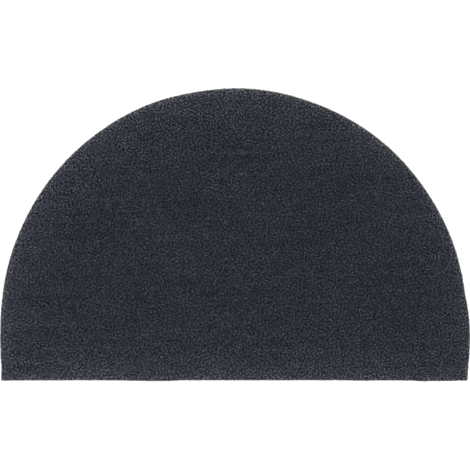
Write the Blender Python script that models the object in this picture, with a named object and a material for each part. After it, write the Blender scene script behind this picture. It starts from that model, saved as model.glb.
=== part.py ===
"""A half round doormat of coir pile in a thin vinyl base, cut in one piece. Metres, +Z up.

The mat lies flat on Z = 0, with the middle of its box over the origin. Its straight edge faces -Y and its
arch +Y. It is one solid: the crisp edge of the base, the cut pile that leans out over it, a rounded rim,
and a level top with a few soft hollows.
"""

from math import pi, radians
from typing import NamedTuple

import bmesh
import bpy
import numpy as np

WIDTH = 0.800
DEPTH = 0.497  # from the straight edge to the top of the arch, waves aside
THICKNESS = 0.016
BASE_THICKNESS = 0.0025

SIDE_SWELL = 0.004  # how far the low sides stand outside the arch's circle, on average
ARCH_RADIUS = WIDTH / 2 - SIDE_SWELL
ARCH_CENTRE_HEIGHT = DEPTH - ARCH_RADIUS  # above the straight edge
ARCH_CENTRE_X = -0.0011  # the arch sits a little left of the straight edge's middle

POINT_SPACING = 0.012
UNDERSIDE_MIDDLE = (0.007, -0.011, 0.0)  # where the underside's facets meet, clear of the origin
SHARP_ANGLE = radians(35)

HOLLOW_DEPTH = 0.0006
HOLLOW_LENGTHS = (0.190, 0.150, 0.110)  # of the waves along, across and slanting over the top
HOLLOW_STARTS = (1.1, 0.4)  # the first two waves' phases, in radians
HOLLOW_SLANT = 0.6

PILE_COLOUR = (0.028, 0.031, 0.040, 1.0)
PILE_ROUGHNESS = 0.95


class Side(NamedTuple):
    """How far the two sides stand outside the arch's circle, at a height above the straight edge."""

    height: float
    left: float
    right: float


class Wander(NamedTuple):
    """How far a stretch of edge stands outside its true line, at a place along it."""

    place: float
    out: float


class Ring(NamedTuple):
    """One step of the mat's edge, from the underside up: how far in from the outline, and how high."""

    inset: float
    height: float


SIDES = (
    Side(0.000, 0.0000, 0.0013),
    Side(0.020, -0.0004, 0.0029),
    Side(0.045, 0.0012, 0.0049),
    Side(0.070, 0.0019, 0.0061),
    Side(0.100, 0.0013, 0.0050),
    Side(0.125, 0.0006, 0.0026),
    Side(0.150, 0.0000, 0.0000),
)

# Places along the straight edge are distances from its middle.
STRAIGHT_EDGE = (
    Wander(-0.400, 0.0000),
    Wander(-0.225, -0.0003),
    Wander(-0.190, 0.0000),
    Wander(-0.150, 0.0009),
    Wander(-0.122, 0.0010),
    Wander(-0.085, -0.0003),
    Wander(0.180, -0.0003),
    Wander(0.219, 0.0003),
    Wander(0.255, -0.0002),
    Wander(0.295, 0.0000),
    Wander(0.325, 0.0011),
    Wander(0.357, 0.0008),
    Wander(0.400, 0.0000),
)

# Places along the arch are angles in degrees, from the right side over the top to the left side.
ARCH_EDGE = (
    Wander(0, 0.0000),
    Wander(20, 0.0000),
    Wander(34, -0.0006),
    Wander(52, 0.0001),
    Wander(70, -0.0004),
    Wander(86, 0.0005),
    Wander(100, -0.0007),
    Wander(111, 0.0004),
    Wander(129, -0.0006),
    Wander(153, -0.0009),
    Wander(170, 0.0001),
    Wander(180, 0.0000),
)

EDGE_RINGS = (
    Ring(0.0016, 0.0),
    Ring(0.0016, BASE_THICKNESS),
    Ring(0.0007, 0.0062),
    Ring(0.0000, 0.0112),
    Ring(0.0004, 0.0138),
    Ring(0.0016, 0.0153),
    Ring(0.0042, THICKNESS),
)

# The top's rings, as shares of the way from the rim to the middle.
TOP_SHARES = (0.06, 0.14, 0.24, 0.36, 0.50, 0.66, 0.83)


def clear_scene():
    for old in list(bpy.data.objects):
        bpy.data.objects.remove(old, do_unlink=True)


def eased(at, places, values):
    """The value at each place, easing from one row of a table to the next along half a cosine wave."""
    places = np.asarray(places, float)
    values = np.asarray(values, float)
    row = np.clip(np.searchsorted(places, at) - 1, 0, len(places) - 2)
    share = np.clip((at - places[row]) / (places[row + 1] - places[row]), 0, 1)
    return values[row] + (values[row + 1] - values[row]) * (1 - np.cos(pi * share)) / 2


def swell(height, side):
    """How far the left or the right side stands outside the arch's circle at each height."""
    return eased(height, [row.height for row in SIDES], [getattr(row, side) for row in SIDES])


def wander(at, rows):
    return eased(at, [row.place for row in rows], [row.out for row in rows])


def steps_for(length):
    return round(length / POINT_SPACING)


def straight_edge():
    """From the left corner to the right one, with the soft waves of the cut."""
    left = ARCH_CENTRE_X - ARCH_RADIUS - swell(0.0, "left")
    right = ARCH_CENTRE_X + ARCH_RADIUS + swell(0.0, "right")
    x = np.linspace(left, right, steps_for(WIDTH), endpoint=False)
    return np.stack([x, -wander(x, STRAIGHT_EDGE)], axis=1)


def right_side():
    height = np.linspace(0, ARCH_CENTRE_HEIGHT, steps_for(ARCH_CENTRE_HEIGHT), endpoint=False)
    return np.stack([ARCH_CENTRE_X + ARCH_RADIUS + swell(height, "right"), height], axis=1)


def left_side():
    height = np.linspace(ARCH_CENTRE_HEIGHT, 0, steps_for(ARCH_CENTRE_HEIGHT), endpoint=False)
    return np.stack([ARCH_CENTRE_X - ARCH_RADIUS - swell(height, "left"), height], axis=1)


def arch():
    """Half a circle from right to left, with the sides' swell fading out of it and the cut's own wander."""
    angle = np.linspace(0, pi, steps_for(pi * ARCH_RADIUS), endpoint=False)
    height = ARCH_CENTRE_HEIGHT + ARCH_RADIUS * np.sin(angle)
    swollen = np.where(angle < pi / 2, swell(height, "right"), swell(height, "left"))
    radius = ARCH_RADIUS + swollen + wander(np.degrees(angle), ARCH_EDGE)
    x = ARCH_CENTRE_X + radius * np.cos(angle)
    return np.stack([x, ARCH_CENTRE_HEIGHT + radius * np.sin(angle)], axis=1)


def outline():
    """The mat's outline from above, anticlockwise from the left corner, with its box's middle at zero."""
    points = np.concatenate([straight_edge(), right_side(), arch(), left_side()])
    return points - (points.min(axis=0) + points.max(axis=0)) / 2


def inset(points, distance):
    """The outline moved inwards by a distance. Each corner moves along the line that halves its angle."""
    before = points - np.roll(points, 1, axis=0)
    after = np.roll(points, -1, axis=0) - points
    before /= np.linalg.norm(before, axis=1, keepdims=True)
    after /= np.linalg.norm(after, axis=1, keepdims=True)
    inward = np.stack([-before[:, 1] - after[:, 1], before[:, 0] + after[:, 0]], axis=1)
    inward /= 1 + (before * after).sum(axis=1, keepdims=True)
    return points + distance * inward


def hollows(x, y):
    """Depth of the soft hollows in the pile's top, from 0 to HOLLOW_DEPTH: three crossing waves."""
    along, across, slanting = (2 * pi / length for length in HOLLOW_LENGTHS)
    start_along, start_across = HOLLOW_STARTS
    crossing = np.sin(along * x + start_along) * np.sin(across * y + start_across)
    return HOLLOW_DEPTH * (2 - crossing - np.sin(slanting * (x + HOLLOW_SLANT * y))) / 4


def rings():
    """Every closed ring of points, from the underside's rim up the edge and in over the top."""
    points = outline()
    edge = [np.insert(inset(points, ring.inset), 2, ring.height, axis=1) for ring in EDGE_RINGS]
    rim = edge[-1]
    top = []
    for share in TOP_SHARES:
        ring = rim * (1 - share)
        ring[:, 2] = THICKNESS - hollows(ring[:, 0], ring[:, 1])
        top.append(ring)
    return edge + top


def mat_mesh():
    """The rings skinned with quads, and closed by a fan below and a fan above."""
    bm = bmesh.new()
    loops = [[bm.verts.new(point) for point in ring] for ring in rings()]
    for lower, upper in zip(loops, loops[1:]):
        for i in range(len(lower)):
            j = (i + 1) % len(lower)
            bm.faces.new((lower[i], lower[j], upper[j], upper[i]))
    below = bm.verts.new(UNDERSIDE_MIDDLE)
    above = bm.verts.new((0.0, 0.0, THICKNESS - hollows(0.0, 0.0)))
    for i in range(len(loops[0])):
        j = (i + 1) % len(loops[0])
        bm.faces.new((loops[0][j], loops[0][i], below))
        bm.faces.new((loops[-1][i], loops[-1][j], above))
    mesh = bpy.data.meshes.new("mat")
    bm.to_mesh(mesh)
    bm.free()
    mesh.shade_smooth()
    mesh.set_sharp_from_angle(angle=SHARP_ANGLE)
    return mesh


def pile_material():
    material = bpy.data.materials.new("coir_pile")
    material.use_nodes = True
    shader = material.node_tree.nodes["Principled BSDF"]
    shader.inputs["Base Color"].default_value = PILE_COLOUR
    shader.inputs["Roughness"].default_value = PILE_ROUGHNESS
    shader.inputs["Metallic"].default_value = 0.0
    return material


def make_mat():
    mat = bpy.data.objects.new("mat", mat_mesh())
    mat.data.materials.append(pile_material())
    bpy.context.scene.collection.objects.link(mat)
    return mat


clear_scene()
make_mat()
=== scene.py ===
# %% [markdown]
# A half round coir doormat
#
# The real mat is a thin sheet of black vinyl into which millions of stiff coconut fibres, called coir, are
# bonded on end. A die then cuts the sheet into a half round, so the fibres run right out to a crisp edge.
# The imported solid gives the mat's size and outline. This lesson puts a dense, dark slate pile on it, made of
# real strands worked out with numpy, so that it looks right from above and from the side.

import bpy
import numpy as np
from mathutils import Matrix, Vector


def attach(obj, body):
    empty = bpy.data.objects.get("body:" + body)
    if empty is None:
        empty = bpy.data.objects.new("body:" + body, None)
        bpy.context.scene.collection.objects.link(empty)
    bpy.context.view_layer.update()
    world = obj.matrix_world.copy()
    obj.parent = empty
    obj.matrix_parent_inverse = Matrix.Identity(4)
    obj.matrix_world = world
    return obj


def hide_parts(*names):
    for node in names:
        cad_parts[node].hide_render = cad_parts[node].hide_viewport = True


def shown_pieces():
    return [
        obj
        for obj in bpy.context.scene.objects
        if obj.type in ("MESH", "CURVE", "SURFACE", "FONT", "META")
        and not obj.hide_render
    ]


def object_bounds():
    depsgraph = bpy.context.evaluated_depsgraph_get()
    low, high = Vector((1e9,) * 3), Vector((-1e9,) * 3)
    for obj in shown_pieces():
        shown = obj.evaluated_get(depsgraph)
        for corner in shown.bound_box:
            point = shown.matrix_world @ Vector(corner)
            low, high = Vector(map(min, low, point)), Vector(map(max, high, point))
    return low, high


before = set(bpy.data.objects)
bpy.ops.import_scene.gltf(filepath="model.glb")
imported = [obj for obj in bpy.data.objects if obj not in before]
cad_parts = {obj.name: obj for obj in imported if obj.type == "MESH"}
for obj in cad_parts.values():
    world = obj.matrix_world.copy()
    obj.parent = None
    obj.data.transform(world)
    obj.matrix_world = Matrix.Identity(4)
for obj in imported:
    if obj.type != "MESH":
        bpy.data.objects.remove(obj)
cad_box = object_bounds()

MM = 0.001
cad_low, cad_high = (np.array(corner) for corner in cad_box)
PILE_TOP = cad_high[2]
print("The solid's box in millimetres:", np.round((cad_high - cad_low) / MM, 1))

# %% [markdown]
# The outline
#
# Every piece follows the cut edge, so that edge is read first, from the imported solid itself. The solid is
# made of level rings of points, and the ring that reaches furthest out is the mat's outline from above.
# Sorted by their bearing from the middle, its points run anticlockwise round the mat. An outline typed in
# again by hand could drift away from the solid, and this one can't.

# %% Read the outline from the solid
RING_TOLERANCE = 0.02 * MM


def node_points(name):
    """The corners of a node's mesh, as rows of x, y and z."""
    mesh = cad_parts[name].data
    points = np.empty(3 * len(mesh.vertices), np.float32)
    mesh.vertices.foreach_get("co", points)
    return points.reshape(-1, 3).astype(float)


def widest_ring(points):
    """The points on the level of the one furthest along X, sorted by bearing from the middle."""
    level = points[points[:, 0].argmax(), 2]
    ring = points[np.abs(points[:, 2] - level) < RING_TOLERANCE, :2]
    ring = np.unique(np.round(ring, 6), axis=0)
    return ring[np.arctan2(ring[:, 1], ring[:, 0]).argsort()]


OUTLINE = widest_ring(node_points("mat"))
print("Outline points:", len(OUTLINE))

# %% [markdown]
# Two measures of the outline are needed again and again. One walks round it in even steps and gives a place
# and the direction that points inwards. The other says how far inside the edge any place on the mat lies,
# because the pile near the cut edge leans and looks different.

# %% Walk round the outline, and measure in from it
PLACES_AT_ONCE = 20000


def unit(vectors):
    """Each vector divided by its own length."""
    return vectors / np.linalg.norm(vectors, axis=-1, keepdims=True)


def walk(distances):
    """Points on the outline and inward directions, at distances along it.

    The distance along the outline is the running sum of its straight runs. x and y are read from it by
    interpolation, and the inward direction is the walking direction turned a quarter to the left.
    """
    closed = np.vstack([OUTLINE, OUTLINE[:1]])
    travelled = np.concatenate([[0], np.cumsum(np.hypot(*np.diff(closed, axis=0).T))])

    def at(distance):
        distance = distance % travelled[-1]
        return np.stack([np.interp(distance, travelled, closed[:, axis]) for axis in (0, 1)], axis=1)

    ahead = unit(at(distances + MM) - at(distances - MM))
    return at(distances), np.stack([-ahead[:, 1], ahead[:, 0]], axis=1)


def perimeter():
    """The sum of the outline's straight runs."""
    return np.hypot(*(np.roll(OUTLINE, -1, axis=0) - OUTLINE).T).sum()


def depth_inside(points):
    """How far inside the outline each place lies, in metres, and below zero outside.

    Each place is dropped onto every straight run of the outline. The nearest run gives the distance, and
    the side of that run on which the place lies gives the sign.
    """
    run = np.roll(OUTLINE, -1, axis=0) - OUTLINE
    found = []
    for some in np.array_split(points, len(points) // PLACES_AT_ONCE + 1):
        away = some[:, None] - OUTLINE
        share = np.clip((away * run).sum(axis=2) / (run**2).sum(axis=1), 0, 1)
        gap = np.linalg.norm(away - share[..., None] * run, axis=2)
        nearest = gap.argmin(axis=1)
        row = np.arange(len(some))
        side = run[nearest, 0] * away[row, nearest, 1] - run[nearest, 1] * away[row, nearest, 0]
        found.append(gap[row, nearest] * np.sign(side))
    return np.concatenate(found)


print("Cut edge, all the way round:", round(perimeter(), 3), "m")

# %% [markdown]
# From arrays to a mesh
#
# Blender can take a whole array of corners and faces at once with foreach_set, which is far quicker than
# adding them one by one. Each piece is made this way: its object stays at the origin, and its place is in
# its corners. Numbers that the material will read, such as how far up a strand a corner is, are stored on
# the corners as named attributes.

# %% A piece from arrays
def new_piece(name, points, triangles, measures):
    """A mesh object from rows of places, rows of three corner numbers and named numbers for each corner."""
    mesh = bpy.data.meshes.new(name)
    mesh.vertices.add(len(points))
    mesh.vertices.foreach_set("co", points.astype(np.float32).ravel())
    mesh.loops.add(triangles.size)
    mesh.loops.foreach_set("vertex_index", triangles.astype(np.int32).ravel())
    mesh.polygons.add(len(triangles))
    mesh.polygons.foreach_set("loop_start", np.arange(0, triangles.size, 3, dtype=np.int32))
    mesh.update(calc_edges=True)
    mesh.shade_smooth()
    for title, values in measures.items():
        attribute = mesh.attributes.new(title, "FLOAT", "POINT")
        attribute.data.foreach_set("value", values.astype(np.float32).ravel())
    piece = bpy.data.objects.new(name, mesh)
    bpy.context.scene.collection.objects.link(piece)
    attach(piece, "root")
    print(f"{name}: {len(triangles)} triangles")
    return piece


# %% [markdown]
# The base
#
# Under the pile the real mat has a flat vinyl sheet about 2.5 mm thick. The feet of the fibres stand in it
# so close together that nothing can be seen between them. So there are two closed bodies here: a slab with
# a crisp edge, and on it a dark core that ends a few millimetres below the top of the pile. They could be
# built with an extrusion and an inset, but a list of rings, each with its distance in from the outline and
# its height, says the same thing in fewer words and is skinned with one function.

# %% Skin a body from rings
INNER_SHARES = (0.03, 0.10, 0.25, 0.45, 0.70)


def skin(rings):
    """Points and triangles of a closed body from rings of equal length, from the bottom one to the top one.

    Corner j of ring i meets its neighbour on the ring and the same two corners on the ring above, as two
    triangles. A fan round the middle of the first ring and one round the middle of the last close the body.
    """
    count = len(rings[0])
    here = np.arange(count)
    beside = np.roll(here, -1)
    triangles = []
    for i in range(len(rings) - 1):
        low, high = i * count, (i + 1) * count
        triangles.append(np.stack([low + here, low + beside, high + beside], axis=1))
        triangles.append(np.stack([low + here, high + beside, high + here], axis=1))
    bottom = len(rings) * count
    last = bottom - count
    triangles.append(np.stack([beside, here, np.full(count, bottom)], axis=1))
    triangles.append(np.stack([last + here, last + beside, np.full(count, bottom + 1)], axis=1))
    middles = [rings[0].mean(axis=0), rings[-1].mean(axis=0)]
    return np.vstack([*rings, middles]), np.concatenate(triangles)


def mitres():
    """How far each outline point moves for each metre of inset: along the line that halves its corner.

    It is the sum of the two sides' inward directions, over 1 plus the cosine of the turn between them.
    """
    ahead = unit(np.roll(OUTLINE, -1, axis=0) - OUTLINE)
    behind = np.roll(ahead, 1, axis=0)
    both = ahead + behind
    turn = (ahead * behind).sum(axis=1, keepdims=True)
    return np.stack([-both[:, 1], both[:, 0]], axis=1) / (1 + turn)


def slab(name, profile):
    """A body whose edge follows a profile of insets and heights, with more rings over its top.

    Those are the edge's last ring, drawn in towards the middle by each of the inner shares.
    """
    rings = [np.insert(OUTLINE + inset * mitres(), 2, height, axis=1) for inset, height in profile]
    rings += [rings[-1] * (1 - share, 1 - share, 1) for share in INNER_SHARES]
    return new_piece(name, *skin(rings), {})


# %% [markdown]
# The slab stops a little way in from the outline, because the pile leans out over it, and its edges are
# hardly rounded, as a die leaves them. The core keeps further in, behind the bristles of the cut edge, and
# its top falls away there in two slopes, because the pile above it is rounded off.

# %% The vinyl slab and the core on it
BASE_THICKNESS = 2.5 * MM
BASE_INSET = 1.7 * MM
EDGE_ROUNDING = 0.3 * MM
CORE_TOP = 12 * MM
CORE_INSET = 2.6 * MM

# Each row is a ring's distance in from the outline and its height.
BASE_PROFILE = (
    (BASE_INSET + EDGE_ROUNDING, 0.0),
    (BASE_INSET, EDGE_ROUNDING),
    (BASE_INSET, BASE_THICKNESS - EDGE_ROUNDING),
    (BASE_INSET + EDGE_ROUNDING, BASE_THICKNESS),
)
CORE_PROFILE = (
    (CORE_INSET, BASE_THICKNESS),
    (CORE_INSET, CORE_TOP - 2 * MM),
    (CORE_INSET + MM, CORE_TOP - MM),
    (CORE_INSET + 3 * MM, CORE_TOP),
)
base = slab("vinyl_base", BASE_PROFILE)
core = slab("pile_core", CORE_PROFILE)
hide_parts("mat")

# %% [markdown]
# Uneven patches
#
# Nothing in a brush pile repeats exactly, but its unevenness has sizes: tufts of a few millimetres, soft
# patches of a few centimetres, and faint rows left by the machine. Random numbers with only some sizes left
# in them give each of these. White noise on a grid is split into waves by a Fourier transform, the waves
# that are too short or too long are turned down, and the rest are added up again.

# %% Noise with chosen sizes
NOISE_STEP = 1 * MM
MARGIN = 20 * MM
NOISE_LOW = cad_low[:2] - MARGIN
NOISE_COUNTS = np.ceil((cad_high[:2] - cad_low[:2] + 2 * MARGIN) / NOISE_STEP).astype(int)
FEWEST_WAVES = 1e-6  # in a metre, because the flat part of the noise has none and 0 has no logarithm


def uneven(length, spread, seed, stretch=1.0):
    """Hills and hollows about one length apart, with a mean of 0 and a spread of 1, on the noise grid.

    A wave is kept by the bell curve of the logarithm of its length over the wanted one, divided by the
    spread. With a stretch above 1 the hills are that much longer along X.
    """
    noise = np.random.default_rng(seed).standard_normal(NOISE_COUNTS)
    waves_x = np.fft.fftfreq(NOISE_COUNTS[0], NOISE_STEP)[:, None] * stretch
    waves_y = np.fft.rfftfreq(NOISE_COUNTS[1], NOISE_STEP)[None]
    waves = np.maximum(np.hypot(waves_x, waves_y), FEWEST_WAVES)
    kept = np.exp(-((np.log(waves * length) / spread) ** 2) / 2)
    field = np.fft.irfft2(np.fft.rfft2(noise) * kept, NOISE_COUNTS)
    return (field - field.mean()) / field.std()


def read(field, points):
    """The field's value at each place, from the four grid points round it, each by its nearness."""
    at = (points - NOISE_LOW) / NOISE_STEP
    low = np.clip(np.floor(at).astype(int), 0, NOISE_COUNTS - 2)
    (i, j), (u, v) = low.T, (at - low).T
    near = field[i, j] * (1 - u) + field[i + 1, j] * u
    far = field[i, j + 1] * (1 - u) + field[i + 1, j + 1] * u
    return near * (1 - v) + far * v


tufts = uneven(6 * MM, spread=0.3, seed=1)
lean_x = uneven(6 * MM, spread=0.45, seed=2)
lean_y = uneven(6 * MM, spread=0.45, seed=3)
patches = uneven(30 * MM, spread=0.7, seed=4)
clouds = uneven(140 * MM, spread=0.4, seed=6)
machine_rows = uneven(20 * MM, spread=0.4, seed=5, stretch=16.0)
print("Noise grid:", NOISE_COUNTS)

# %% [markdown]
# Strands
#
# A coir fibre is a stiff bristle with a blunt end, where the pile was shorn level. Hair particles would be
# quick to set up, but they don't survive as a mesh, and a tube with many sides is too heavy for nearly two
# hundred thousand strands. Two short straight edges, one at the foot and one at the tip, turned a quarter
# turn apart, make the cheapest closed strand there is. Joined corner to corner they are a chisel of four
# triangles: it is blunt like a cut fibre, and it looks about equally wide from every side.

# %% Chisels, the strands of the upright pile
CHISEL_TRIANGLES = np.array([[0, 1, 2], [0, 3, 1], [0, 2, 3], [1, 3, 2]])


def square_to(run, turns):
    """Two directions at right angles to each run and to each other, turned about it by an angle.

    The first pair comes from cross products with the X axis. Its cosine and sine mix is the turned pair.
    """
    across = unit(np.cross(run, (1.0, 0.0, 0.0)))
    beyond = np.cross(run, across)
    cosine, sine = np.cos(turns)[:, None], np.sin(turns)[:, None]
    return cosine * across + sine * beyond, cosine * beyond - sine * across


def chisels(feet, tips, foot_widths, tip_widths, turns):
    """Points, triangles and height share of many chisels.

    The foot's corners are the foot plus and minus half its width along one direction. The tip's corners
    are the tip plus and minus half its width along the other. The height share is 0 at the foot and 1 at
    the tip.
    """
    first, second = square_to(unit(tips - feet), turns)
    foot_half = first * foot_widths[:, None] / 2
    tip_half = second * tip_widths[:, None] / 2
    points = np.stack([feet - foot_half, feet + foot_half, tips - tip_half, tips + tip_half], axis=1)
    triangles = CHISEL_TRIANGLES + 4 * np.arange(len(feet))[:, None, None]
    share = np.tile((0.0, 0.0, 1.0, 1.0), len(feet))
    return points.reshape(-1, 3), triangles.reshape(-1, 3), share


print("Triangles in a chisel:", len(CHISEL_TRIANGLES))

# %% [markdown]
# When the mat is exported, its colours are painted onto a picture, and a UV map says where on the picture
# each face lies. Blender's own unwrapping can't lay out this many tiny faces well. So the picture is divided
# into square cells, one for each strand, with the foot at the bottom of the cell and the tip at the top. A
# strand's colour changes only from foot to tip, so its faces may lie over one another in their cell.

# %% A map with one cell for each strand
CELL_FOOT, CELL_TIP = 0.14, 0.92
CELL_SIDES = (0.10, 0.90)


def give_map(piece, count, share, sideways):
    """A UV map in which strand number n has cell n.

    A corner's place in its cell goes up by its height share, and across by its sideways share.
    """
    mesh = piece.data
    each = len(share) // count
    across = int(np.ceil(np.sqrt(count)))
    number = np.repeat(np.arange(count), each)
    left, right = CELL_SIDES
    u = (number % across + left + sideways * (right - left)) / across
    v = (number // across + CELL_FOOT + share * (CELL_TIP - CELL_FOOT)) / across
    used = np.empty(len(mesh.loops), np.int32)
    mesh.loops.foreach_get("vertex_index", used)
    layer = mesh.uv_layers.new(name="OFBake")
    layer.uv.foreach_set("vector", np.stack([u, v], axis=1)[used].astype(np.float32).ravel())


# %% [markdown]
# The pile looks different near the cut edge. Its top is rounded off there, a broad rim is a little lighter,
# more so on the left, which is painted light, and the last few millimetres get a grey that is partly scuff
# and partly painted glow, most at the top of the arch. All of that is read from where a strand's tip is and
# how far inside the edge.

# %% What the strands tell their material
RIM_DROP = 2.2 * MM
RIM_REACH = 1.7 * MM
# A broad rim is painted lighter, more so towards the left: this is painted light.
RIM_LIGHT_REACH = 30 * MM
RIM_LIGHT_SLANT = 0.4  # for each metre towards the left
# The last few millimetres get a grey that is partly scuff and partly painted glow, more towards the top of the
# arch.
SCUFF_GLOW_PLACE = 2.2 * MM
SCUFF_GLOW_REACH = 4.3 * MM
SCUFF_GLOW_RISE = 1.4  # for each metre towards the top of the arch


def rounded_top(inside):
    """The height of the pile's top at a distance inside the edge.

    It is lower by the rim's drop at the edge, and further in the drop dies away exponentially.
    """
    return PILE_TOP - RIM_DROP * np.exp(-np.maximum(inside, 0) / RIM_REACH)


def strand_piece(name, shape, sideways, tips, tone, dark_below):
    """A piece of many strands, with what its material reads.

    Light is a corner's height as a share of the way from where the strands are darkest to the pile's top, and
    it sets the painted shade deep in the pile. Tone, the rim's painted light and its scuff and painted glow
    are the same all over a strand.
    """
    points, triangles, share = shape
    each = len(points) // len(tips)
    inside = depth_inside(tips[:, :2])
    # Painted light on a broad rim, stronger towards the left.
    rim_light = np.exp(-inside / RIM_LIGHT_REACH) * (1 - RIM_LIGHT_SLANT * tips[:, 0])
    # Partly scuff and partly painted glow in the last few millimetres.
    scuff_and_glow = np.exp(-(((inside - SCUFF_GLOW_PLACE) / SCUFF_GLOW_REACH) ** 2)) * (1 + SCUFF_GLOW_RISE * tips[:, 1])
    lit_height = np.repeat(rounded_top(inside), each) - dark_below
    measures = {
        "light": np.clip((points[:, 2] - dark_below) / lit_height, 0, 1),
        "tone": np.repeat(tone, each),
        "rim_light": np.repeat(rim_light, each),
        "scuff_and_glow": np.repeat(scuff_and_glow, each),
    }
    piece = new_piece(name, points, triangles, measures)
    give_map(piece, len(tips), share, np.tile(sideways, len(tips)))
    return piece


print("The pile's top at the cut edge:", round(rounded_top(0) / MM, 1), "mm")

# %% [markdown]
# The upright pile
#
# Seen from above, the pile is a field of fibre ends with dark gaps between them. The ends gather in tufts,
# and where tufts part there is a little pit. The feet are set on a triangular grid and each is nudged at
# random, because a pure random scatter would leave bald spots. The tuft noise raises and lowers the ends,
# and neighbours lean the same way, as they do where a brush has been pressed.

# %% Foot places
PITCH = 1.43 * MM
ROW_RATIO = np.sqrt(3) / 2
NUDGE = 0.45
PILE_INSET = 1.6 * MM
BENT_SHARE = 0.08
dice = np.random.default_rng(11)


def foot_places():
    """A triangular grid over the mat's box, with every place nudged, cut to what lies inside the edge."""
    x = np.arange(cad_low[0], cad_high[0], PITCH)
    y = np.arange(cad_low[1], cad_high[1], PITCH * ROW_RATIO)
    across, up = np.meshgrid(x, y)
    across = across + (np.arange(len(y)) % 2 * PITCH / 2)[:, None]
    places = np.stack([across.ravel(), up.ravel()], axis=1)
    places = places + dice.uniform(-NUDGE, NUDGE, places.shape) * PITCH
    return places[depth_inside(places) > PILE_INSET]


foot_spots = foot_places()
bent = dice.random(len(foot_spots)) < BENT_SHARE
print(len(foot_spots), "strands, of which", bent.sum(), "are bent over")

# %% [markdown]
# How a strand looks depends on where it stands and on chance. How light it is could be left to a noise
# texture in the material, but worked out here it is the same all along a fibre, and the tuft noise that
# makes a strand darker, as painted shade, also sinks it into its pit.

# %% How light, how high and how far over
OWN_TONE = 0.22
# Painted shade: strands in the tufts' pits are made darker, those on the tufts' tops lighter.
PIT_SHADE = 0.19
PATCH_TONE = 0.07
CLOUD_TONE = 0.03
ROW_TONE = 0.05
# Painted light: the mat is made lighter towards the left, and towards the straight edge and the arch's top.
LEFT_LIGHT = 0.17  # for each metre towards the left
BOWL_LIGHT = 1.3  # times the square of the metres up or down from the middle line
TONE_LIMITS = (0.15, 3.0)
PIT_DEPTH = 2.0 * MM
TIP_SPREAD = 0.35 * MM
TUFT_LEAN = 1.0 * MM
OWN_LEAN = 1.0 * MM


def tone_light_and_shade_at(places):
    """How light each strand is, about 1: its own chance, painted shade that follows its tuft's height, soft
    patches and the machine's rows.

    The mat is also a little lighter towards the left, and towards the straight edge and the arch's top: this
    is painted light.
    """
    own = 1 + dice.normal(0, OWN_TONE, len(places))
    shared = 1 + PIT_SHADE * read(tufts, places) + PATCH_TONE * read(patches, places)
    shared += CLOUD_TONE * read(clouds, places) + ROW_TONE * read(machine_rows, places)
    across, up = places.T
    # The last factor is painted light, lighter towards the left and away from the middle line.
    return np.clip(own * shared * (1 - LEFT_LIGHT * across + BOWL_LIGHT * up**2), *TONE_LIMITS)


def tip_heights(places):
    """The pile's top, lower at the rim and in the pits, and uneven from strand to strand.

    As the tuft noise falls, a pit grows from nothing to its full depth along a hyperbolic tangent.
    """
    pit = PIT_DEPTH * (1 - np.tanh(read(tufts, places))) / 2
    return rounded_top(depth_inside(places)) - pit - np.abs(dice.normal(0, TIP_SPREAD, len(places)))


def leaning(places):
    """How far each tip stands from over its foot: the lean it shares with its neighbours and its own."""
    shared = TUFT_LEAN * np.stack([read(lean_x, places), read(lean_y, places)], axis=1)
    return shared + dice.normal(0, OWN_LEAN, places.shape)


print("Strands that stand where tufts part:", (read(tufts, foot_spots) < 0).sum())

# %% [markdown]
# The feet are sunk a little into the core, and only the outermost stand past it, behind the bristles of the
# cut edge. A piece of more than two hundred thousand triangles is thinned when it is saved on its own, so
# the strands are sorted from the straight edge upwards and cut into four bands, with no seam between them.

# %% Four bands of upright pile
FOOT_DEPTH = 1 * MM
FOOT_WIDTH = 1.7 * MM
TIP_WIDTH = 1.2 * MM
WIDTH_SPREAD = 0.2
CHISEL_SIDEWAYS = (0.0, 1.0, 0.0, 1.0)
BANDS = 4


def uneven_widths(width, count):
    """The width, each time a little more or less."""
    return width * dice.uniform(1 - WIDTH_SPREAD, 1 + WIDTH_SPREAD, count)


def upright_pile(name, places):
    """Each foot is at its place, and its tip is moved over by the lean, at the pile's height there."""
    feet = np.insert(places, 2, CORE_TOP - FOOT_DEPTH, axis=1)
    over = places + leaning(places)
    tips = np.column_stack([over, tip_heights(over)])
    count = len(places)
    turns = dice.uniform(0, np.pi, count)
    shape = chisels(feet, tips, uneven_widths(FOOT_WIDTH, count), uneven_widths(TIP_WIDTH, count), turns)
    return strand_piece(name, shape, CHISEL_SIDEWAYS, tips, tone_light_and_shade_at(over), CORE_TOP)


upright = foot_spots[~bent]
upright = upright[upright[:, 1].argsort()]
for band, some in enumerate(np.array_split(upright, BANDS), start=1):
    upright_pile(f"pile_band_{band}", some)

# %% [markdown]
# Bent bristles
#
# Some fibres are bent over by feet and by packing. From above they are the short light strokes in the grain.
# A curved rod would give the knee as well, but between the other strands only the part above it shows. So
# each is one chisel again, lying nearly flat in the top of the pile.

# %% Bent bristles
KNEE_DROP = 1.5 * MM
STROKE_LENGTHS = (2.5 * MM, 6.0 * MM)
STROKE_WIDTH = 0.7 * MM
STROKE_TONE = 1.35
LEAST_INSET = 1.0 * MM


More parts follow.
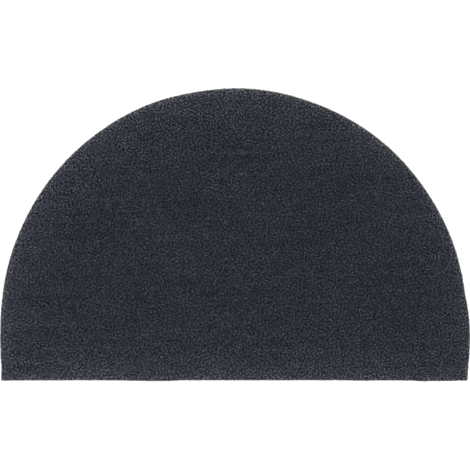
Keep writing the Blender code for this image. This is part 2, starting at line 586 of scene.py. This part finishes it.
def bent_pile(name, places):
    """The knee is under the pile's top, and the tip one stroke away from it in any direction, and higher."""
    heading = dice.uniform(0, 2 * np.pi, len(places))
    reach = dice.uniform(*STROKE_LENGTHS, len(places))
    over = places + reach[:, None] * np.stack([np.cos(heading), np.sin(heading)], axis=1)
    height = tip_heights(places)
    knees = np.column_stack([places, height - KNEE_DROP])
    tips = np.column_stack([over, height])
    kept = depth_inside(over) > LEAST_INSET
    knees, tips = knees[kept], tips[kept]
    count = len(tips)
    turns = dice.uniform(0, np.pi, count)
    knee_widths = uneven_widths(STROKE_WIDTH, count)
    tip_widths = uneven_widths(STROKE_WIDTH, count)
    shape = chisels(knees, tips, knee_widths, tip_widths, turns)
    return strand_piece(name, shape, CHISEL_SIDEWAYS, tips, STROKE_TONE * tone_light_and_shade_at(places[kept]), CORE_TOP)


bent_pile("pile_bent", foot_spots[bent])

# %% [markdown]
# The cut edge
#
# Where the die went through, the fibres stand bare from the vinyl up, and with nothing beside them they
# splay out by a millimetre or two. From the side they look like a fine fence, and from above they give the
# mat its slightly hairy outline. A straight chisel can't swell out and come back in, so these strands are
# three-sided rods of four rings, in three close rows that follow the outline.

# %% Rods along paths
SIDES = 3
ROD_SIDEWAYS = (0.0, 1.0, 0.5)
ROD_RISE = np.array([0.0, 0.0, 0.05])


def rod_triangles(rings):
    """The triangles of one rod: two for each side of each stretch between rings, and one at each end."""
    side = np.arange(SIDES)
    after = np.roll(side, -1)
    found = []
    for ring in range(rings - 1):
        low, high = SIDES * ring, SIDES * (ring + 1)
        found.append(np.stack([low + side, low + after, high + after], axis=1))
        found.append(np.stack([low + side, high + after, high + side], axis=1))
    found.append(side[None, ::-1])
    found.append(SIDES * (rings - 1) + side[None])
    return np.concatenate(found)


def rods(paths, widths, turns):
    """Points, triangles and height share of many rods.

    Each point of a path carries a triangle of the given width, square to the rod's whole run and turned
    about it by an angle. The height share grows evenly from the first ring to the last. The third corner of
    each ring has a little more of it, or the flat ends would have no width on the map.
    """
    count, rings = paths.shape[:2]
    first, second = square_to(unit(paths[:, -1] - paths[:, 0]), turns)
    angle = np.arange(SIDES) * 2 * np.pi / SIDES
    spoke = np.cos(angle)[:, None] * first[:, None] + np.sin(angle)[:, None] * second[:, None]
    points = paths[:, :, None] + (widths / np.sqrt(3))[:, :, None, None] * spoke[:, None]
    triangles = rod_triangles(rings) + SIDES * rings * np.arange(count)[:, None, None]
    level = np.repeat(np.arange(rings) / (rings - 1), SIDES)
    share = level * (1 - ROD_RISE.max()) + np.tile(ROD_RISE, rings)
    return points.reshape(-1, 3), triangles.reshape(-1, 3), np.tile(share, count)


print("Triangles in a rod of four rings:", len(rod_triangles(4)))

# %% [markdown]
# The rods' paths could be drawn by hand as curves, but there are thousands of them. Each is four points
# instead, given by how far in from the outline and how high they are, and every point drifts a little from
# the one below it, so that no two rods are alike. They start inside the slab's edge, swell out past the
# outline and turn back in a little at the tip.

# %% The fence of edge bristles
FENCE_STEP = 0.75 * MM
FENCE_ROWS = 3
FENCE_ROW_GAP = 0.5 * MM
FENCE_HEIGHTS = np.array([2.0, 7.0, 11.5, 14.3]) * MM
FENCE_INSETS = np.array([2.0, 0.65, -0.15, -0.05]) * MM
FENCE_DRIFT = np.array([0.1, 0.15, 0.2, 0.25]) * MM
FENCE_SLIDE = 2.0
FENCE_SPREAD = 0.35 * MM
FENCE_BEND = 3
FENCE_WIDTHS = np.array([1.1, 1.05, 0.95, 0.7]) * MM
# The fence's darker tone is painted shade on the cut side.
FENCE_SHADE = 0.5


def fence_paths():
    """Paths at given insets and heights, each point drifting from the one below, more along than out.

    A tip also rises with the pile's rounded top, less a chance amount. The points below it move by their
    own share of the tip's height, raised to the power of the bend, so that the foot hardly moves.
    """
    count = round(perimeter() / FENCE_STEP)
    size = (count, len(FENCE_HEIGHTS))
    paths = []
    for row in range(FENCE_ROWS):
        spots = (np.arange(count) + dice.uniform(0, 1, count)) * FENCE_STEP
        edge, inward = walk(spots)
        along = np.stack([inward[:, 1], -inward[:, 0]], axis=1)
        drift = np.cumsum(dice.normal(0, 1, size) * FENCE_DRIFT, axis=1)
        slide = np.cumsum(dice.normal(0, 1, size) * FENCE_DRIFT, axis=1) * FENCE_SLIDE
        inset = FENCE_INSETS + row * FENCE_ROW_GAP + drift
        flat = edge[:, None] + inset[..., None] * inward[:, None] + slide[..., None] * along[:, None]
        rim_rise = RIM_DROP * (1 - np.exp(-row * FENCE_ROW_GAP / RIM_REACH))
        rise = rim_rise - dice.normal(0, FENCE_SPREAD, count)
        height = FENCE_HEIGHTS + rise[:, None] * (FENCE_HEIGHTS / FENCE_HEIGHTS[-1]) ** FENCE_BEND
        paths.append(np.concatenate([flat, height[..., None]], axis=2))
    return np.concatenate(paths)


def edge_pile(name):
    """The fence as one piece of rods, in a darker tone than the pile, as the edge is in the photo."""
    paths = fence_paths()
    widths = FENCE_WIDTHS * uneven_widths(1, len(paths))[:, None]
    shape = rods(paths, widths, dice.uniform(0, 2 * np.pi, len(paths)))
    sideways = np.tile(ROD_SIDEWAYS, len(FENCE_HEIGHTS))
    # A darker tone for the fence: painted shade on the cut side.
    tone = FENCE_SHADE * tone_light_and_shade_at(paths[:, 0, :2])
    return strand_piece(name, shape, sideways, paths[:, -1], tone, BASE_THICKNESS)


edge_pile("pile_edge")

# %% [markdown]
# Finishes
#
# A material is a small network of nodes. Writing it as sums reads better than wiring nodes by name, so a
# little class wraps an output and turns Python's + and * into Math nodes. Everything else comes from one
# method that makes any node, sets its settings and fills its sockets.

# %% A helper for materials
class Value:
    """A number that flows through a material's nodes, with Python's signs made into Math nodes."""

    def __init__(self, finish, socket):
        self.finish = finish
        self.socket = socket

    def maths(self, operation, first, second):
        return self.finish.node("ShaderNodeMath", {"operation": operation}, {0: first, 1: second})

    def __add__(self, other):
        return self.maths("ADD", self, other)

    def __sub__(self, other):
        return self.maths("SUBTRACT", self, other)

    def __rsub__(self, other):
        return self.maths("SUBTRACT", other, self)

    def __mul__(self, other):
        return self.maths("MULTIPLY", self, other)

    __radd__ = __add__
    __rmul__ = __mul__


class Finish:
    """A material being built, with its Principled shader."""

    def __init__(self, name, roughness, specular):
        self.material = bpy.data.materials.new(name)
        self.material.use_nodes = True
        self.tree = self.material.node_tree
        self.shader = self.tree.nodes["Principled BSDF"]
        self.shader.inputs["Roughness"].default_value = roughness
        self.shader.inputs["Specular IOR Level"].default_value = specular

    def node(self, kind, settings, inputs, output=0):
        """Any node: its settings are set first, then each input gets a value or a link."""
        made = self.tree.nodes.new(kind)
        for setting, value in settings.items():
            setattr(made, setting, value)
        for name, value in inputs.items():
            self.fill(made.inputs[name], value)
        return Value(self, made.outputs[output])

    def fill(self, socket, value):
        if isinstance(value, Value):
            self.tree.links.new(value.socket, socket)
        else:
            socket.default_value = value

    def measure(self, name):
        return self.node("ShaderNodeAttribute", {"attribute_name": name}, {}, "Fac")

    def mix(self, share, first, second):
        """A mix of two colours, which are inputs 6 and 7 of the node. The result is its output 2."""
        return self.node("ShaderNodeMix", {"data_type": "RGBA"}, {0: share, 6: first, 7: second}, 2)

    def scaled(self, colour, by):
        """A colour times a number, which is input 3 of the node."""
        return self.node("ShaderNodeVectorMath", {"operation": "SCALE"}, {0: colour, 3: by})

    def added(self, colour, other):
        return self.node("ShaderNodeVectorMath", {"operation": "ADD"}, {0: colour, 1: other})

    def put_on(self, *wearers):
        for piece in wearers:
            piece.data.materials.clear()
            piece.data.materials.append(self.material)


# %% [markdown]
# Dyed coir
#
# The fibres are dyed a dark slate blue. Deep down they are nearly black, which is painted shade, and their
# ends are lighter. Every strand has its own tone. Near the cut edge a broad rim is a little lighter, which is
# painted light, and the last few millimetres get a grey that is partly scuff and partly painted glow. A
# picture could be painted and laid over the pile for this, but colours mixed from the numbers on the strands
# are as fine as the strands themselves.

# %% The bristles' finish
# The deep colour is painted shade: the strands are darkest at their feet, deep in the pile.
DEEP_SHADE_COLOUR = (0.0070, 0.0080, 0.0112, 1)
DYED_COLOUR = (0.0465, 0.0523, 0.0707, 1)
FADED_COLOUR = (0.0550, 0.0582, 0.0685, 1)
# The rim colour is painted light, added on a broad rim.
RIM_LIGHT_COLOUR = (0.046, 0.049, 0.057)
# A grey that is partly scuff and partly painted glow.
SCUFF_GLOW_COLOUR = (0.114, 0.110, 0.103)
FADED_FROM, FADED_GAIN = 0.5, 0.5
COIR_ROUGHNESS = 0.75
COIR_GLOSS = 0.05


def bristle_finish():
    """The dyed colour, with painted shade deep down, times the strand's tone, plus the rim's painted light and
    its scuff and painted glow.

    These rim colours are brightest at the tip, which is painted light too, and they take on half of the
    strand's own tone.
    """
    finish = Finish("coir", roughness=COIR_ROUGHNESS, specular=COIR_GLOSS)
    tone, light = finish.measure("tone"), finish.measure("light")
    top = finish.mix((tone - FADED_FROM) * FADED_GAIN, DYED_COLOUR, FADED_COLOUR)
    dyed = finish.scaled(finish.mix(light, DEEP_SHADE_COLOUR, top), tone)
    # Painted light on the broad rim.
    rim_light = finish.scaled(RIM_LIGHT_COLOUR, finish.measure("rim_light"))
    # Partly scuff and partly painted glow, strongest at the tips.
    scuff_and_glow = finish.scaled(SCUFF_GLOW_COLOUR, finish.measure("scuff_and_glow") * light)
    # Both rim colours are brightest at the tips, as painted light.
    rim_light_and_scuff = finish.scaled(finish.added(rim_light, scuff_and_glow), light * (tone + 1) * 0.5)
    finish.fill(finish.shader.inputs["Base Color"], finish.added(dyed, rim_light_and_scuff))
    return finish


pile_pieces = [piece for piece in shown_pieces() if piece.name.startswith("pile_")]
strand_pieces = [piece for piece in pile_pieces if piece is not core]
bristle_finish().put_on(*strand_pieces)
print("Coir finish on", len(strand_pieces), "pieces")

# %% [markdown]
# Vinyl and the core
#
# The base is black vinyl with a faint pebbled grain, a little glossier than the fibres. The core stands for
# the shaded mass of fibre feet. It is nearly black and quite matt, with specks as small as single fibres.
# Both hardly show, so a small noise texture on each is enough, and on the vinyl it feeds a bump as well.

# %% The finishes of the base and the core
VINYL_COLOUR = (0.012, 0.012, 0.013)
VINYL_ROUGHNESS = 0.55
VINYL_GLOSS = 0.35
GRAIN_SCALE = 450.0
GRAIN_HEIGHT = 0.12 * MM
GRAIN_STRENGTH = 0.6
CORE_COLOUR = (0.0062, 0.0071, 0.0100)
FOOT_SCALE = 900.0
DARKEST_SPECK = 0.5  # as a share of the colour


def speckled(finish, colour, scale):
    """Gives a finish a base colour of darker and lighter specks, and returns the noise behind them.

    The colour is multiplied by the darkest speck's share plus the noise, which runs from 0 to 1.
    """
    place = finish.node("ShaderNodeTexCoord", {}, {}, "Object")
    noise = finish.node("ShaderNodeTexNoise", {}, {"Vector": place, "Scale": scale}, "Fac")
    finish.fill(finish.shader.inputs["Base Color"], finish.scaled(colour, DARKEST_SPECK + noise))
    return noise


def vinyl_finish():
    finish = Finish("vinyl", roughness=VINYL_ROUGHNESS, specular=VINYL_GLOSS)
    grain = speckled(finish, VINYL_COLOUR, GRAIN_SCALE)
    pebbles = {"Height": grain, "Distance": GRAIN_HEIGHT, "Strength": GRAIN_STRENGTH}
    finish.fill(finish.shader.inputs["Normal"], finish.node("ShaderNodeBump", {}, pebbles))
    return finish


def core_finish():
    finish = Finish("fibre_feet", roughness=1.0, specular=0.0)
    speckled(finish, CORE_COLOUR, FOOT_SCALE)
    return finish


vinyl_finish().put_on(base)
core_finish().put_on(core)
print("Vinyl finish on", base.name, "and dark finish on", core.name)

after = np.roll(OUTLINE, -1, axis=0)
cut_area = float((OUTLINE[:, 0] * after[:, 1] - OUTLINE[:, 1] * after[:, 0]).sum() / 2)
print("Cut area:", round(cut_area, 4), "square metres")

# %% [markdown]
# Floor, light and camera
#
# The photo looks straight down on the mat in soft, even light on pure white. The light has to be strong to
# bring out so dark a pile, and a pale grey floor is already white in it. It reaches far past the picture.

# %% Floor
FLOOR_HALF = 6.0
FLOOR_COLOUR = (0.62, 0.62, 0.62, 1)
FLOOR_ROUGHNESS = 0.9


def make_floor():
    corners = np.array([[-1, -1, 0], [1, -1, 0], [1, 1, 0], [-1, 1, 0]]) * FLOOR_HALF
    mesh = bpy.data.meshes.new("floor")
    mesh.from_pydata(corners.tolist(), [], [(0, 1, 2, 3)])
    floor = bpy.data.objects.new("floor", mesh)
    bpy.context.scene.collection.objects.link(floor)
    finish = Finish("pale_floor", roughness=FLOOR_ROUGHNESS, specular=0.0)
    finish.fill(finish.shader.inputs["Base Color"], FLOOR_COLOUR)
    finish.put_on(floor)


make_floor()
print("Floor:", 2 * FLOOR_HALF, "m square")

# %% [markdown]
# A sun lamp almost overhead is equally strong all over the mat, where an area lamp would be weaker at its
# ends. Its disc of ten degrees softens the shadows, and a white world fills in from all sides.

# %% Light
WORLD_STRENGTH = 0.45
SUN_STRENGTH = 5.0
SUN_DISC = np.radians(10)
SUN_TILT = np.radians((2, -2, 0))


def make_light():
    world = bpy.data.worlds.new("studio")
    world.use_nodes = True
    background = world.node_tree.nodes["Background"]
    background.inputs["Color"].default_value = (1, 1, 1, 1)
    background.inputs["Strength"].default_value = WORLD_STRENGTH
    bpy.context.scene.world = world
    lamp = bpy.data.lights.new("soft_sun", "SUN")
    lamp.energy = SUN_STRENGTH
    lamp.angle = SUN_DISC
    sun = bpy.data.objects.new("soft_sun", lamp)
    sun.rotation_euler = SUN_TILT
    bpy.context.scene.collection.objects.link(sun)


make_light()
print("Sun and world strengths:", SUN_STRENGTH, "and", WORLD_STRENGTH)

# %% [markdown]
# The camera is far up with a long lens, so that the mat's sides stay hidden. The lens follows from how wide
# the picture is at the outline's level. The Standard view keeps the colours as they were mixed, where a
# film-like view would change them.

# %% Camera
CAMERA_HEIGHT = 3.0
PICTURE_WIDTH = 800.85 * MM  # what 470 pixels span at the level of the outline
OUTLINE_HEIGHT = 11.2 * MM
SENSOR = 36.0
LOOK_AT = (-0.17 * MM, -0.5 * MM)


def make_camera():
    data = bpy.data.cameras.new("camera")
    data.sensor_width = SENSOR
    data.lens = SENSOR * (CAMERA_HEIGHT - OUTLINE_HEIGHT) / PICTURE_WIDTH
    camera = bpy.data.objects.new("camera", data)
    camera.location = (*LOOK_AT, CAMERA_HEIGHT)
    bpy.context.scene.collection.objects.link(camera)
    bpy.context.scene.camera = camera
    print("Lens:", round(data.lens, 1), "mm")


make_camera()
bpy.context.scene.view_settings.view_transform = "Standard"
